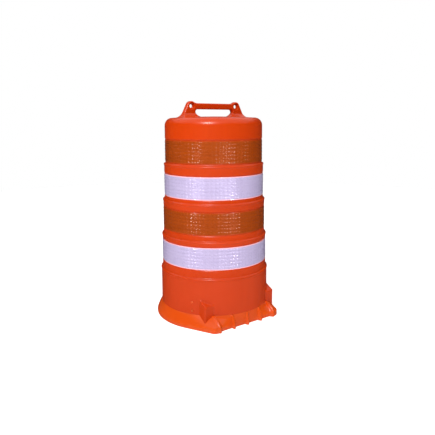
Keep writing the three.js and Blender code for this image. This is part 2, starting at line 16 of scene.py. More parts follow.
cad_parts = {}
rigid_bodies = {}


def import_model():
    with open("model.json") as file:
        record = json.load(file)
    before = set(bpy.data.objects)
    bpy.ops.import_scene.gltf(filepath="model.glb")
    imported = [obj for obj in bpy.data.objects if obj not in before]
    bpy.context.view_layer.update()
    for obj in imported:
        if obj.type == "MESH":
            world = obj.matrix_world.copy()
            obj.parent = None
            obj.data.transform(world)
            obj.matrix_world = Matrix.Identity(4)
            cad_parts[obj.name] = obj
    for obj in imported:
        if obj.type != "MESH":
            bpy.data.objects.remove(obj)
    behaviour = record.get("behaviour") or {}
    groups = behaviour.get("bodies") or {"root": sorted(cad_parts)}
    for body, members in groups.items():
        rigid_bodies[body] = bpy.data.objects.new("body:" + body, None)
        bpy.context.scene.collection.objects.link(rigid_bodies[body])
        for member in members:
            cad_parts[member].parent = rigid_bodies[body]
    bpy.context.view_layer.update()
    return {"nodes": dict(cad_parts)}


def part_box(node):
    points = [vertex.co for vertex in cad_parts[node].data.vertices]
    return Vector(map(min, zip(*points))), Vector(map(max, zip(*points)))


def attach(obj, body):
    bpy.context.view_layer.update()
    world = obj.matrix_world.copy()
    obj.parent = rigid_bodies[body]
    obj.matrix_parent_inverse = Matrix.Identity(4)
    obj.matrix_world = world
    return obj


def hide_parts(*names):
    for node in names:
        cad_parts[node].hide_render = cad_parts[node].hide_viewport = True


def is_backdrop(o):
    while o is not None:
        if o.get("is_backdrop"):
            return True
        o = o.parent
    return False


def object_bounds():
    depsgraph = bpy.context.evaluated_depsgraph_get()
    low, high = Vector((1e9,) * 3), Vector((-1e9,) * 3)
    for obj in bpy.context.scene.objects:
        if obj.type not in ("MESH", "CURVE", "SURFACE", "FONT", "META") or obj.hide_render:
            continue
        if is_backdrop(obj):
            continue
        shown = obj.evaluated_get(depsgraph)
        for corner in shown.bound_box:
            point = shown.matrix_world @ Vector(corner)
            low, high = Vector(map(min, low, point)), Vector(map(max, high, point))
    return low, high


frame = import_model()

MM = 0.001

# %% [markdown]
# ## Camera
# The camera comes first so that each step can be looked at from the same place. It stands a little
# under the top of the drum, 2.3 m away, and the drum's flat side is turned 36 degrees from it.

# %% Camera
TURN = math.radians(36.0)
PITCH = math.radians(11.28)
ROLL = math.radians(-0.23)
DISTANCE, SIDEWAYS, EYE_HEIGHT = 2.2995, 0.0175, 0.9218
SENSOR, LENS = 36.0, 39.72  # millimetres

camera = bpy.data.objects.new("camera", bpy.data.cameras.new("camera"))
bpy.context.scene.collection.objects.link(camera)
bpy.context.scene.camera = camera
camera.data.sensor_width, camera.data.lens = SENSOR, LENS
camera.location = (
    SIDEWAYS * math.cos(TURN) - DISTANCE * math.sin(TURN),
    -SIDEWAYS * math.sin(TURN) - DISTANCE * math.cos(TURN),
    EYE_HEIGHT,
)
aim = Matrix.Rotation(-TURN, 4, "Z") @ Matrix.Rotation(math.pi / 2 - PITCH, 4, "X")
camera.rotation_euler = (aim @ Matrix.Rotation(ROLL, 4, "Z")).to_euler()
print("camera at", [round(v, 3) for v in camera.location])

# %% [markdown]
# ## Writing node trees as expressions
# A finish is easier to read as arithmetic than as a web of nodes. `Link` stands for one output of
# a node, and its operators add Math nodes. `Tree` holds the nodes, and its `node` method makes each
# of them, settings first and sockets after. `Finish` is the tree of one material. `Tree` also
# serves the surround and the trees that lay the cells and the rivets.

# %% Node tree helpers
class Link:
    """One output socket, with the arithmetic that the trees use."""

    def __init__(self, owner, socket):
        self.owner, self.socket = owner, socket

    def __add__(self, other):
        return self.owner.math("ADD", self, other)

    def __sub__(self, other):
        return self.owner.math("SUBTRACT", self, other)

    def __rsub__(self, other):
        return self.owner.math("SUBTRACT", other, self)

    def __mul__(self, other):
        return self.owner.math("MULTIPLY", self, other)

    def __truediv__(self, other):
        return self.owner.math("DIVIDE", self, other)

    __radd__, __rmul__ = __add__, __mul__


class Tree:
    """A node tree that is being put together."""

    def __init__(self, tree):
        self.tree = tree
        tree.nodes.clear()

    def node(self, kind, sockets=None, out=0, **settings):
        made = self.tree.nodes.new(kind)
        for name, value in settings.items():
            setattr(made, name, value)
        for name, value in (sockets or {}).items():
            if isinstance(value, Link):
                self.tree.links.new(value.socket, made.inputs[name])
            else:
                made.inputs[name].default_value = value
        return Link(self, made.outputs[out]) if len(made.outputs) else made

    def math(self, operation, first, second=0.0):
        return self.node("ShaderNodeMath", {0: first, 1: second}, operation=operation)


class Finish(Tree):
    """The node tree of one material, and the patterns that the finishes share."""

    def __init__(self, name):
        self.material = bpy.data.materials.new(name)
        self.material.use_nodes = True
        super().__init__(self.material.node_tree)

    def place(self, uv=False):
        return self.node("ShaderNodeTexCoord", out="UV" if uv else "Object")

    def noise(self, where, scale, detail=2.0, stretch=(1, 1, 1), rough=0.5):
        if stretch != (1, 1, 1):
            where = self.node("ShaderNodeMapping", {"Vector": where, "Scale": stretch})
        sockets = {"Vector": where, "Scale": scale, "Detail": detail, "Roughness": rough}
        return self.node("ShaderNodeTexNoise", sockets)

    def ramp(self, value, low, high):
        """0 below low and 1 above high, smooth between."""
        sockets = {"Value": value, "From Min": low, "From Max": high}
        return self.node("ShaderNodeMapRange", sockets, interpolation_type="SMOOTHSTEP")

    def mix(self, share, first, second):
        sockets = {0: share, 6: first, 7: second}
        return self.node("ShaderNodeMix", sockets, out=2, data_type="RGBA")

    def bump(self, height, strength, distance, normal=None):
        sockets = {"Height": height, "Strength": strength, "Distance": distance}
        if normal:
            sockets["Normal"] = normal
        return self.node("ShaderNodeBump", sockets)

    def finish(self, **sockets):
        named = {name.replace("_", " "): value for name, value in sockets.items()}
        surface = self.node("ShaderNodeBsdfPrincipled", named)
        self.node("ShaderNodeOutputMaterial", {"Surface": surface})
        return self.material


def colour(red, green, blue):
    """A display colour, 0 to 255, as the linear colour that a socket takes."""
    parts = []
    for value in (red, green, blue):
        v = value / 255
        parts.append(v / 12.92 if v <= 0.04045 else ((v + 0.055) / 1.055) ** 2.4)
    return (*parts, 1.0)


# %% [markdown]
# ## Moulded polyethylene
# The shell and the base are the same thick, semi-gloss plastic. Its colour is even, but never
# perfectly so: the pigment clouds a little, road dust collects low down, and the skin has the
# faint ripple of a cooled moulding. All of these are mild, so the gloss stays clean.

# %% Moulded plastic finish
def moulded_plastic(name, base, low_dust=0.0):
    f = Finish(name)
    where = f.place()
    clouds = f.noise(where, 5.0, 3.0)
    streaks = f.noise(where, 9.0, 4.0, stretch=(6, 6, 0.6))
    fine = f.noise(where, 420.0, 2.0)
    tone = f.ramp(clouds * 0.75 + streaks * 0.25, 0.3, 0.7)
    darker = tuple(c * 0.92 for c in base[:3]) + (1.0,)
    paint = f.mix(tone, darker, base)
    height = f.node("ShaderNodeSeparateXYZ", {0: where}, out=2)
    dust = (1 - f.ramp(height, 0.0, 0.03)) * f.ramp(f.noise(where, 90.0, 5.0), 0.4, 0.7)
    paint = f.mix(dust * low_dust, paint, colour(196, 132, 104))
    scratches = f.ramp(f.noise(where, 60.0, 6.0, stretch=(1, 1, 9), rough=0.7), 0.66, 0.8)
    paint = f.mix(scratches * 0.1, paint, colour(214, 120, 84))
    ripple = f.bump(f.noise(where, 14.0, 1.0), 0.05, 0.004)
    skin = f.bump(fine, 0.08, 0.0005, ripple)
    return f.finish(
        Base_Color=paint,
        Roughness=0.26 + clouds * 0.08 + scratches * 0.2 + dust * 0.25,
        Normal=skin,
        Specular_IOR_Level=0.36,
        Subsurface_Weight=0.06,
        Subsurface_Radius=(0.02, 0.006, 0.002),
        Subsurface_Scale=0.5,
    )


ORANGE = colour(197, 57, 0)
shell_plastic = moulded_plastic("shell_plastic", ORANGE, 0.15)
# The base is the shell's plastic painted lighter: painted light for the extra light that its upward-sloping
# skirt takes from above.
base_plastic = moulded_plastic("base_plastic", colour(213, 76, 8), 0.15)
# The rivets' paler, pinker colour is a painted highlight on their small domed heads.
rivet_plastic = moulded_plastic("rivet_plastic", colour(214, 92, 44))
print("plastic finishes", shell_plastic.name, base_plastic.name, rivet_plastic.name)

# %% [markdown]
# ## Reflective sheeting
# Each band is a flexible prismatic sheet. Pillowed cells, sealed along a grid of thin lines, hold
# rows of tiny prisms that look like fine hatching close up. The sheet is smooth and glossy outside,
# and its two cut edges are heat-sealed to a plain bright strip. The pattern follows the sheet, so
# it is drawn on the band's own map, whose units are metres along and up the sheet.

# %% Sheeting finish
SEAL = 0.0038  # height of the sealed strip along each edge
BAND_HEIGHT = 0.1016


def sheeting(name, face, line, edge):
    f = Finish(name)
    where = f.place(uv=True)
    up = f.node("ShaderNodeSeparateXYZ", {0: where}, out=1)
    hatch = f.node(
        "ShaderNodeTexWave",
        {"Vector": where, "Scale": 95.0, "Distortion": 0.6, "Detail": 1.0, "Detail Scale": 4.0},
        out="Fac",
        bands_direction="DIAGONAL",
    )
    across = f.node("ShaderNodeMapping", {"Vector": where, "Scale": (-1, 1, 1)})
    second = f.node(
        "ShaderNodeTexWave", {"Vector": across, "Scale": 95.0}, out="Fac", bands_direction="DIAGONAL"
    )
    prisms = hatch * 0.5 + second * 0.5
    patches = f.noise(where, 22.0, 3.0, stretch=(0.35, 1.6, 1))
    middle = f.math("ABSOLUTE", up - BAND_HEIGHT / 2)
    sealed = f.ramp(middle, BAND_HEIGHT / 2 - SEAL - 0.0006, BAND_HEIGHT / 2 - SEAL + 0.0002)
    paint = f.mix(prisms * 0.55 + patches * 0.45, line, face)
    paint = f.mix(sealed, paint, edge)
    clean = 1 - sealed
    relief = f.bump(prisms * clean, 0.16, 0.0007)
    return f.finish(
        Base_Color=paint,
        Metallic=clean * 0.2,
        Roughness=0.24 + prisms * 0.14,
        Normal=relief,
        Coat_Weight=0.6,
        Coat_Roughness=0.1,
        Specular_IOR_Level=0.3,
    )


white_sheeting = sheeting(
    "white_sheeting", colour(201, 191, 222), colour(172, 160, 200), colour(232, 176, 188)
)
orange_sheeting = sheeting("orange_sheeting", colour(176, 74, 2), colour(136, 50, 0), colour(170, 56, 2))
print("sheeting finishes", white_sheeting.name, orange_sheeting.name)

# %% [markdown]
# ## Rubber and spring steel
# The ballast is bonded crumb from old tyres: black grains with a few paler ones, and a rough skin.
# The clips are plain rolled strip, so their grain runs along the strip and they shine softly.

# %% Rubber and steel finishes
def crumb_rubber():
    f = Finish("crumb_rubber")
    where = f.place()
    grains = f.node("ShaderNodeTexVoronoi", {"Vector": where, "Scale": 260.0}, out="Color")
    grain = f.node("ShaderNodeSeparateColor", {0: grains})
    far = f.node("ShaderNodeTexVoronoi", {"Vector": where, "Scale": 260.0}, out="Distance")
    pale = f.ramp(grain, 0.86, 0.95)
    paint = f.mix(pale * 0.6, colour(30, 29, 28), colour(92, 88, 84))
    paint = f.mix(f.ramp(f.noise(where, 12.0, 4.0), 0.5, 0.8) * 0.4, paint, colour(74, 68, 60))
    return f.finish(
        Base_Color=paint,
        Roughness=0.82 + grain * 0.12,
        Normal=f.bump(1 - far, 0.5, 0.0015),
    )


def spring_steel():
    f = Finish("spring_steel")
    where = f.place()
    grain = f.noise(where, 900.0, 3.0, stretch=(0.06, 0.06, 1))
    stain = f.ramp(f.noise(where, 70.0, 5.0), 0.52, 0.74)
    return f.finish(
        Base_Color=f.mix(stain * 0.5, colour(186, 188, 190), colour(140, 122, 104)),
        Metallic=1.0,
        Roughness=0.28 + grain * 0.16 + stain * 0.2,
        Normal=f.bump(grain, 0.12, 0.0003),
    )


rubber, steel = crumb_rubber(), spring_steel()
print("other finishes", rubber.name, steel.name)

# %% [markdown]
# ## Sizes
# These repeat the part's own sizes in millimetres. Heights are measured from the underside of the
# base, and tiers are numbered from the top.

# %% Sizes and shared shape rules
TIER_RADIUS = [230.0, 236.5, 244.5, 252.5, 260.5]  # at each tier's foot, from the top tier down
DRAFT = 1.5
RIDGE_LOWEST, RIDGE_PITCH = 228.0, 167.0
BEAD, BEAD_HALF = 2.0, 6.0
LEDGE, GAP, WALL = 62.0, 0.4, 3.2
SHOULDER, SHOULDER_TOP, CROWN = 35.5, 940.5, 5.5
SHOULDER_START = SHOULDER_TOP - SHOULDER
ROUND_FROM = 146.0  # the lock blocks end below this height, and the wall is round above it
BAND_TOP, BAND_PITCH, RECESS, MARGIN = 842.0, 156.0, 2.4, 2.6
FOOT_RADIUS = TIER_RADIUS[-1]
BLOCK_X, BLOCK_Y, BLOCK_LOW, BLOCK_SLOPE = 202.0, 210.5, 111.0, 0.5


def ridge_height(tier):
    return RIDGE_LOWEST + RIDGE_PITCH * (4 - tier)


def band_high(tier):
    return BAND_TOP - tier * BAND_PITCH


def band_low(tier):
    return band_high(tier) - BAND_HEIGHT / MM


def tier_radius(tier, z):
    foot = LEDGE + GAP if tier == 4 else ridge_height(tier + 1)
    top = SHOULDER_START if tier == 0 else ridge_height(tier)
    return TIER_RADIUS[tier] - DRAFT * (z - foot) / (top - foot)


def smooth_min(a, b, blend):
    h = np.clip(0.5 + 0.5 * (b - a) / blend, 0.0, 1.0)
    return b + (a - b) * h - blend * h * (1 - h)


def smooth_max(a, b, blend):
    return -smooth_min(-a, -b, blend)


def smooth_step(value, low, high):
    t = np.clip((value - low) / (high - low), 0.0, 1.0)
    return t * t * (3 - 2 * t)


def rounded(points, radius, steps=3):
    """A line of points with each inner corner turned into a short curve."""
    made = [points[0]]
    for before, corner, after in zip(points, points[1:], points[2:]):
        p, q, s = (np.array(v, float) for v in (before, corner, after))
        cut_in = min(radius, 0.46 * np.linalg.norm(q - p))
        cut_out = min(radius, 0.46 * np.linalg.norm(s - q))
        a = q + (p - q) * cut_in / np.linalg.norm(p - q)
        b = q + (s - q) * cut_out / np.linalg.norm(s - q)
        for t in np.linspace(0, 1, steps + 1):
            made.append(tuple((1 - t) ** 2 * a + 2 * t * (1 - t) * q + t * t * b))
    made.append(points[-1])
    return made


def add_object(name, data):
    """An object at the origin, in the scene."""
    made = bpy.data.objects.new(name, data)
    bpy.context.scene.collection.objects.link(made)
    return made


def object_from(name, vertices, faces, material=None):
    """A mesh object at the origin from arrays in millimetres."""
    data = bpy.data.meshes.new(name)
    data.from_pydata([tuple(v) for v in np.asarray(vertices) * MM], [], [tuple(f) for f in faces])
    data.validate()
    if material:
        data.materials.append(material)
    return add_object(name, data)


def applied(obj):
    """The object, with its modifiers made part of its mesh."""
    evaluated = obj.evaluated_get(bpy.context.evaluated_depsgraph_get())
    before = obj.data
    obj.data = bpy.data.meshes.new_from_object(evaluated)
    obj.modifiers.clear()
    bpy.data.meshes.remove(before)
    obj.data.name = obj.name
    return obj


def sharpen(obj, degrees):
    """Smooth shading, with edges that turn more than this kept crisp."""
    obj.data.polygons.foreach_set("use_smooth", [True] * len(obj.data.polygons))
    obj.data.set_sharp_from_angle(angle=math.radians(degrees))
    return obj


def face_outwards(obj):
    """Turns every face outwards, after points that lie on each other are merged."""
    mesh = bmesh.new()
    mesh.from_mesh(obj.data)
    bmesh.ops.remove_doubles(mesh, verts=mesh.verts, dist=1e-6)
    bmesh.ops.recalc_face_normals(mesh, faces=mesh.faces)
    mesh.to_mesh(obj.data)
    mesh.free()


def report(obj):
    """Prints how big a piece is and whether its surface is closed."""
    mesh = bmesh.new()
    mesh.from_mesh(obj.data)
    open_edges = sum(not edge.is_manifold for edge in mesh.edges)
    litres = round(mesh.calc_volume(signed=True) * 1000, 3)
    mesh.free()
    obj.data.calc_loop_triangles()
    places = np.array([v.co for v in obj.data.vertices])
    print(obj.name, len(obj.data.loop_triangles), "triangles,", open_edges, "open edges,", litres, "litres,",
          places.min(0).round(4), places.max(0).round(4))


# %% [markdown]
# ## The base's outline
# Seen from above, the base is a circle with one flat side. Straight runs join the circle to the
# two rounded corners of the flat side. `reach` gives the outline's distance from the axis in any
# direction, and `skirt_height` the height of the sloping skirt there.

# %% Outline of the base
SKIRT, FLAT, CORNER_X, CORNER_R, CORNER_REACH = 285.0, 267.0, 184.0, 30.0, 318.0
RIM, CORNER_RIM, FULLNESS = 12.0, 27.0, 1.75


def outline_table(grow):
    level = -FLAT + CORNER_R
    cx = CORNER_X - CORNER_R * 0.58
    tangent = math.atan2(level, cx) + math.acos((SKIRT - CORNER_R) / math.hypot(cx, level))
    arcs = [
        (cx, level, CORNER_R + grow, -math.pi / 2, tangent, 24),
        (0, 0, SKIRT + grow, tangent, math.pi - tangent, 240),
        (-cx, level, CORNER_R + grow, math.pi - tangent, 1.5 * math.pi, 24),
    ]
    points = []
    for x, y, radius, start, end, steps in arcs:
        a = np.linspace(start, end, steps + 1)
        points.append(np.stack([x + radius * np.cos(a), y + radius * np.sin(a)], 1))
    points = np.concatenate(points)
    after = np.roll(points, -1, axis=0)
    fine = np.concatenate([points + (after - points) * t for t in np.linspace(0, 1, 60)[:-1]])
    angle = np.arctan2(fine[:, 0], -fine[:, 1])
    order = np.argsort(angle)
    angle, radius = angle[order], np.hypot(fine[order, 0], fine[order, 1])
    return np.concatenate([angle - 2 * np.pi, angle, angle + 2 * np.pi]), np.tile(radius, 3)


OUTLINES = {grow: outline_table(grow) for grow in (0.0, -10.0, -4.0, -14.0)}


def reach(angle, grow=0.0):
    """Distance from the axis to the outline, for angles measured from the flat side towards +X."""
    return np.interp(angle, *OUTLINES[grow])


def rim_height(angle):
    share = np.clip((reach(angle) - SKIRT) / (CORNER_REACH - SKIRT), 0, 1)
    return RIM + (CORNER_RIM - RIM) * share


def skirt_height(angle, radius):
    share = np.clip((radius - FOOT_RADIUS) / (reach(angle) - FOOT_RADIUS), 0, 1)
    up = (1 - share ** (2 / FULLNESS)) ** (FULLNESS / 2)
    return rim_height(angle) + (LEDGE - rim_height(angle)) * up


print("outline reach at front, corner, side, back", [
    round(float(reach(math.radians(d))), 1) for d in (0, 33, 90, 180)
])

# %% [markdown]
# ## The crown and the handle
# The handle grows out of the top of the drum in one moulding, so there is no edge where they meet,
# only soft fillets. Such a shape is easiest to say as a distance field: one rule for the rounded
# top, one for the handle's plate, and a smooth minimum that melts them together. A surface net
# finds where the field is zero, and a few Newton steps put every point exactly on it.

# %% Distance fields for the top
EAR_X, EAR_Z, EAR_R, HOLE_R, PAD_R, PAD_HALF = 126.0, 992.0, 22.0, 8.0, 14.5, 4.0
PLATE_HALF, PLATE_EDGE = 12.0, 4.5
GRIP_TOP, GRIP_DEPTH, SLOT_TOP_HALF, SLOT_FOOT_HALF = 1005.0, 27.0, 106.0, 92.0
FOOT_SPAN = 184.0
TOP_TIER = SHOULDER_START - ridge_height(1)
FLAT_TOP = TIER_RADIUS[0] - DRAFT - SHOULDER  # radius where the shoulder's curve ends
NET_LOW = 851.0  # the net starts here, just above the highest band


def arc(x, z, radius, start, end, steps=14):
    a = np.linspace(start, end, steps)
    return [(x + radius * math.cos(t), z + radius * math.sin(t)) for t in a]


def plate_outline():
    end = math.pi - math.asin((GRIP_TOP - EAR_Z + 3) / EAR_R)
    right = arc(EAR_X, EAR_Z, EAR_R, 0.48, end)
    foot = [(FOOT_SPAN, 915.0), (FOOT_SPAN, 934.0), (FOOT_SPAN - 10, 948.0)]
    half = foot + right + [(EAR_X - EAR_R - 7, GRIP_TOP)]
    return np.array(half + [(-x, z) for x, z in reversed(half)])


def slot_outline():
    top, foot, r = GRIP_TOP - GRIP_DEPTH, 930.0, 12.0
    right = [(SLOT_FOOT_HALF - 1, foot), (SLOT_FOOT_HALF + 2, 946.0)]
    right += arc(SLOT_TOP_HALF - r, top - r, r, -0.25, math.pi / 2, 8)
    return np.array(right + [(-x, z) for x, z in reversed(right)])


def polygon_distance(x, z, corners):
    """Signed distance to a closed outline, negative inside."""
    nearest = np.full(x.shape, 1e18)
    inside = np.zeros(x.shape, bool)
    for (x0, z0), (x1, z1) in zip(corners, np.roll(corners, -1, axis=0)):
        ex, ez = x1 - x0, z1 - z0
        t = np.clip(((x - x0) * ex + (z - z0) * ez) / (ex * ex + ez * ez), 0, 1)
        nearest = np.minimum(nearest, (x - x0 - t * ex) ** 2 + (z - z0 - t * ez) ** 2)
        crosses = (z0 > z) != (z1 > z)
        if ez:
            inside ^= crosses & (x < x0 + ex * (z - z0) / ez)
    return np.where(inside, -1.0, 1.0) * np.sqrt(nearest)


PLATE, SLOT = plate_outline(), slot_outline()


def rounded_corner(a, b, radius):
    """Distance to the corner between two faces, a and b past its centre, rounded by radius."""
    outside = np.hypot(np.maximum(a, 0), np.maximum(b, 0))
    return outside + np.minimum(np.maximum(a, b), 0) - radius


def crown_field(x, y, z):
    radius = np.hypot(x, y)
    radius = radius - DRAFT * np.clip((SHOULDER_START - z) / TOP_TIER, 0, 1)
    dome = CROWN * (1 - np.clip(radius / FLAT_TOP, 0, 1) ** 2)
    return rounded_corner(radius - FLAT_TOP, z - dome - SHOULDER_START, SHOULDER)


def plate_field(x, y, z):
    side = smooth_max(polygon_distance(x, z, PLATE), -polygon_distance(x, z, SLOT), 3.0)
    ear = np.hypot(np.abs(x) - EAR_X, z - EAR_Z)
    side = smooth_max(side, HOLE_R - ear, 1.5)
    flare = 20.0 * smooth_step(-z, -962.0, -936.0)
    face = np.abs(y) - PLATE_HALF - flare
    body = rounded_corner(side + PLATE_EDGE, face + PLATE_EDGE, PLATE_EDGE)
    pad = np.maximum(ear - PAD_R, PAD_HALF - np.abs(y))
    return smooth_max(body, -pad, 2.5)


def top_field(points):
    x, y, z = points.T
    field = crown_field(x, y, z)
    near = (np.abs(y) < 90) & (z > 900)
    field[near] = smooth_min(field[near], plate_field(x[near], y[near], z[near]), 10.0)
    return field


# %% Surface net
def gradient(field, points, step=0.3):
    parts = []
    for axis in range(3):
        nudge = np.zeros(3)
        nudge[axis] = step
        parts.append((field(points + nudge) - field(points - nudge)) / (2 * step))
    return np.stack(parts, 1)


def surface_net(field, low, high, step):
    """Points and four-cornered faces where the field is zero. The bottom is left open."""
    axes = [np.arange(a, b + step, step) for a, b in zip(low, high)]
    grid = np.stack(np.meshgrid(*axes, indexing="ij"), -1)
    inside = (field(grid.reshape(-1, 3)) < 0).reshape(grid.shape[:3])
    n = inside.shape
    corner = [(i, j, k) for i in (0, 1) for j in (0, 1) for k in (0, 1)]
    count = sum(
        inside[i : n[0] - 1 + i, j : n[1] - 1 + j, k : n[2] - 1 + k].astype(int) for i, j, k in corner
    )
    mixed = (count > 0) & (count < 8)
    index = np.full(mixed.shape, -1)
    index[mixed] = np.arange(mixed.sum())
    points = grid[:-1, :-1, :-1][mixed] + step / 2
    faces = []
    for axis in range(3):
        u, v = (axis + 1) % 3, (axis + 2) % 3
        first = np.take(inside, range(n[axis] - 1), axis)
        second = np.take(inside, range(1, n[axis]), axis)
        at = np.argwhere(first != second)
        at = at[(at[:, u] > 0) & (at[:, v] > 0) & (at[:, u] < n[u] - 1) & (at[:, v] < n[v] - 1)]
        out = first[tuple(at.T)]
        du, dv = np.eye(3, dtype=int)[u], np.eye(3, dtype=int)[v]
        around = [at - du - dv, at - dv, at, at - du]
        quads = np.stack([index[tuple(c.T)] for c in around], 1)
        quads[~out] = quads[~out][:, ::-1]
        faces.append(quads)
    return points, np.concatenate(faces)


def settle(field, points, faces, held, rounds=4, pull=0.6):
    """Evens out a net and puts its points on the surface. Held points keep their height."""
    edges = np.concatenate([faces[:, [i, (i + 1) % 4]] for i in range(4)])
    for turn in range(rounds + 1):
        if turn:
            total, number = np.zeros_like(points), np.zeros(len(points))
            for a, b in ((0, 1), (1, 0)):
                np.add.at(total, edges[:, a], points[edges[:, b]])
                np.add.at(number, edges[:, a], 1)
            middle = total / number[:, None]
            free = ~held
            points[free] += pull * (middle[free] - points[free])
        for _ in range(3):
            slope = gradient(field, points)
            slope[held, 2] = 0
            size = (slope**2).sum(1).clip(0.05)
            points -= slope * np.clip(field(points) / size, -2, 2)[:, None]
    return points


NET_STEP = 3.1
net_points, net_faces = surface_net(top_field, (-240, -240, NET_LOW), (240, 240, 1020), NET_STEP)
seam_height = NET_LOW + NET_STEP / 2
held = net_points[:, 2] < seam_height + 0.1
net_points = settle(top_field, net_points, net_faces, held)
print("net", len(net_points), "points", len(net_faces), "faces, worst miss",
      round(float(np.abs(top_field(net_points)).max()), 3), "mm")

# %% [markdown]
# ## The wall
# Below the crown the shell is a stack of tiers. A ring of points at each height is enough, except
# around the two lock blocks, where the radius also depends on the direction. A block is a square
# corner with a sloping top, so its distance from the axis is the smallest of three plane distances,
# and a smooth maximum joins it to the round wall.

# %% Wall
def block_radius(angle, z, inset=0.0, blend=4.0):
    """Distance from the axis to the lock blocks' faces, or a small number where there is none."""
    sine, cosine = np.abs(np.sin(angle)).clip(0.1), np.cos(angle).clip(0.1)
    side = (BLOCK_X - inset) / sine
    front = (BLOCK_Y - inset) / cosine
    top = (BLOCK_Y - inset - (z - BLOCK_LOW + inset * 0.62) / BLOCK_SLOPE) / cosine
    radius = smooth_min(smooth_min(side, front, blend), top, 3.5)
    return np.where(np.cos(angle) > 0.3, radius, 0.0)


def wall_radius(angle, z):
    return smooth_max(np.full_like(angle, tier_radius(4, z)), block_radius(angle, z), 3.0)


def wall_profile():
    """The outside of the upper wall, from the lock blocks' top to the net's lower edge."""
    points = [(tier_radius(4, ROUND_FROM), ROUND_FROM)]
    for tier in range(4, 0, -1):
        top = ridge_height(tier)
        above, below = tier_radius(tier - 1, top), tier_radius(tier, top)
        if tier < 4:
            points += band_panel(tier)
        points += [
            (below, top - BEAD_HALF),
            (below + BEAD, top - 3.0),
            (below + BEAD, top + 2.0),
            (above, top + BEAD_HALF),
        ]
    points += band_panel(0)
    points.append((tier_radius(0, seam_height - 3.0), seam_height - 3.0))
    return rounded(points, 2.6, 2)


def band_panel(tier):
    """The shallow recess that a band lies in."""
    low, high = band_low(tier) - MARGIN, band_high(tier) + MARGIN
    return [
        (tier_radius(tier, low - RECESS), low - RECESS),
        (tier_radius(tier, low) - RECESS, low),
        (tier_radius(tier, high) - RECESS, high),
        (tier_radius(tier, high + RECESS), high + RECESS),
    ]


def spread_angles(parts):
    """Angles in degrees from (start, end, step) parts, in radians."""
    return np.radians(np.concatenate([np.arange(a, b - 1e-6, s) for a, b, s in parts]))


def ring(angles, radius, z):
    """A ring of points. Angles run from the flat side towards +X."""
    radius, z = (np.broadcast_to(value, angles.shape) for value in (radius, z))
    return np.column_stack([np.sin(angles) * radius, -np.cos(angles) * radius, z])


turns = spread_angles([(-180, -60, 1.5), (-60, -30, 0.5), (-30, 30, 1.5), (30, 60, 0.5), (60, 180, 1.5)])
foot_radius = wall_radius(turns, 60.0)
foot_height = np.where(
    foot_radius > FOOT_RADIUS + 0.3, skirt_height(turns, foot_radius) + GAP, LEDGE + GAP
)
outer = []
for share in np.linspace(0, 1, 40):
    z = foot_height + (ROUND_FROM - foot_height) * share
    outer.append(ring(turns, wall_radius(turns, z), z))
outer += [ring(turns, r, z) for r, z in wall_profile()[1:]]
print("outer rings", len(outer))

inner = []
for share in np.linspace(0, 1, 12):
    z = foot_height + (ROUND_FROM - foot_height) * share
    hollow = block_radius(turns, z, WALL, 5.0)
    inner.append(ring(turns, smooth_max(np.full_like(turns, FOOT_RADIUS - WALL), hollow, 5.0), z))
for tier in range(4, 0, -1):
    z = ridge_height(tier)
    inner.append(ring(turns, tier_radius(tier, z) - WALL, z - 14))
    inner.append(ring(turns, tier_radius(tier - 1, z) - WALL - 1.4, z + 4))
for a in np.linspace(0, math.pi / 2, 7):
    across, up = (SHOULDER - WALL) * math.cos(a), (SHOULDER - WALL) * math.sin(a)
    inner.append(ring(turns, FLAT_TOP - 1 + across, SHOULDER_START + up))
inner.append(ring(turns, FLAT_TOP / 2, SHOULDER_TOP + CROWN * 0.7 - WALL - 0.5))


# %% Join the net, the wall and the inside
def grid_faces(rings, first, flip=False):
    """Faces between rings of equal length that start at vertex first."""
    n, faces = len(rings[0]), []
    i = np.arange(n)
    j = (i + 1) % n
    for k in range(len(rings) - 1):
        a, b = first + k * n, first + (k + 1) * n
        quads = np.stack([a + i, a + j, b + j, b + i], 1)
        faces.append(quads[:, ::-1] if flip else quads)
    return np.concatenate(faces).tolist()


def fan(first, count, pole, flip=False):
    """Triangles from the ring that starts at vertex first to a pole."""
    pairs = [(first + i, first + (i + 1) % count) for i in range(count)]
    return [(a, b, pole) if flip else (b, a, pole) for a, b in pairs]


def stacked(rings, low_pole, high_pole):
    """Vertices and faces of a closed solid made of rings, with a pole at each end."""
    count, last = len(rings[0]), len(rings[0]) * (len(rings) - 1)
    vertices = np.concatenate([*rings, [low_pole, high_pole]])
    ends = fan(0, count, last + count) + fan(last, count, last + count + 1, flip=True)
    return vertices, grid_faces(rings, 0) + ends


def stitch(lower, lower_angle, upper, upper_angle):
    """Triangles between two rings of different length, both in order of angle."""
    faces, i, j, n, m = [], 0, 0, len(lower), len(upper)
    angle = lambda table, k, count: table[k % count] + 2 * np.pi * (k // count)
    while i < n or j < m:
        next_low = angle(lower_angle, i + 1, n)
        next_up = angle(upper_angle, j + 1, m)
        if j >= m or (i < n and next_low <= next_up):
            faces.append((lower[i % n], lower[(i + 1) % n], upper[j % m]))
            i += 1
        else:
            faces.append((lower[i % n], upper[(j + 1) % m], upper[j % m]))
            j += 1
    return faces


def open_loop(faces):
    """The points along the net's open edge, in order, anticlockwise from above."""
    steps = {(int(a), int(b)) for face in faces for a, b in zip(face, np.roll(face, -1))}
    after = {a: b for a, b in steps if (b, a) not in steps}
    loop = [next(iter(after))]
    while after[loop[-1]] != loop[0]:
        loop.append(after[loop[-1]])
    return np.array(loop)


seam = open_loop(net_faces)
seam_angle = np.arctan2(net_points[seam, 0], -net_points[seam, 1])
seam = np.roll(seam, -int(np.argmin(seam_angle)))
seam_angle = np.min(seam_angle) + np.arange(len(seam)) * 2 * np.pi / len(seam)
print("seam", len(seam), "of", int(held.sum()))
seam_radius = tier_radius(0, seam_height)
net_points[seam] = np.column_stack([
    np.sin(seam_angle) * seam_radius,
    -np.cos(seam_angle) * seam_radius,
    np.full(len(seam), seam_height),
])

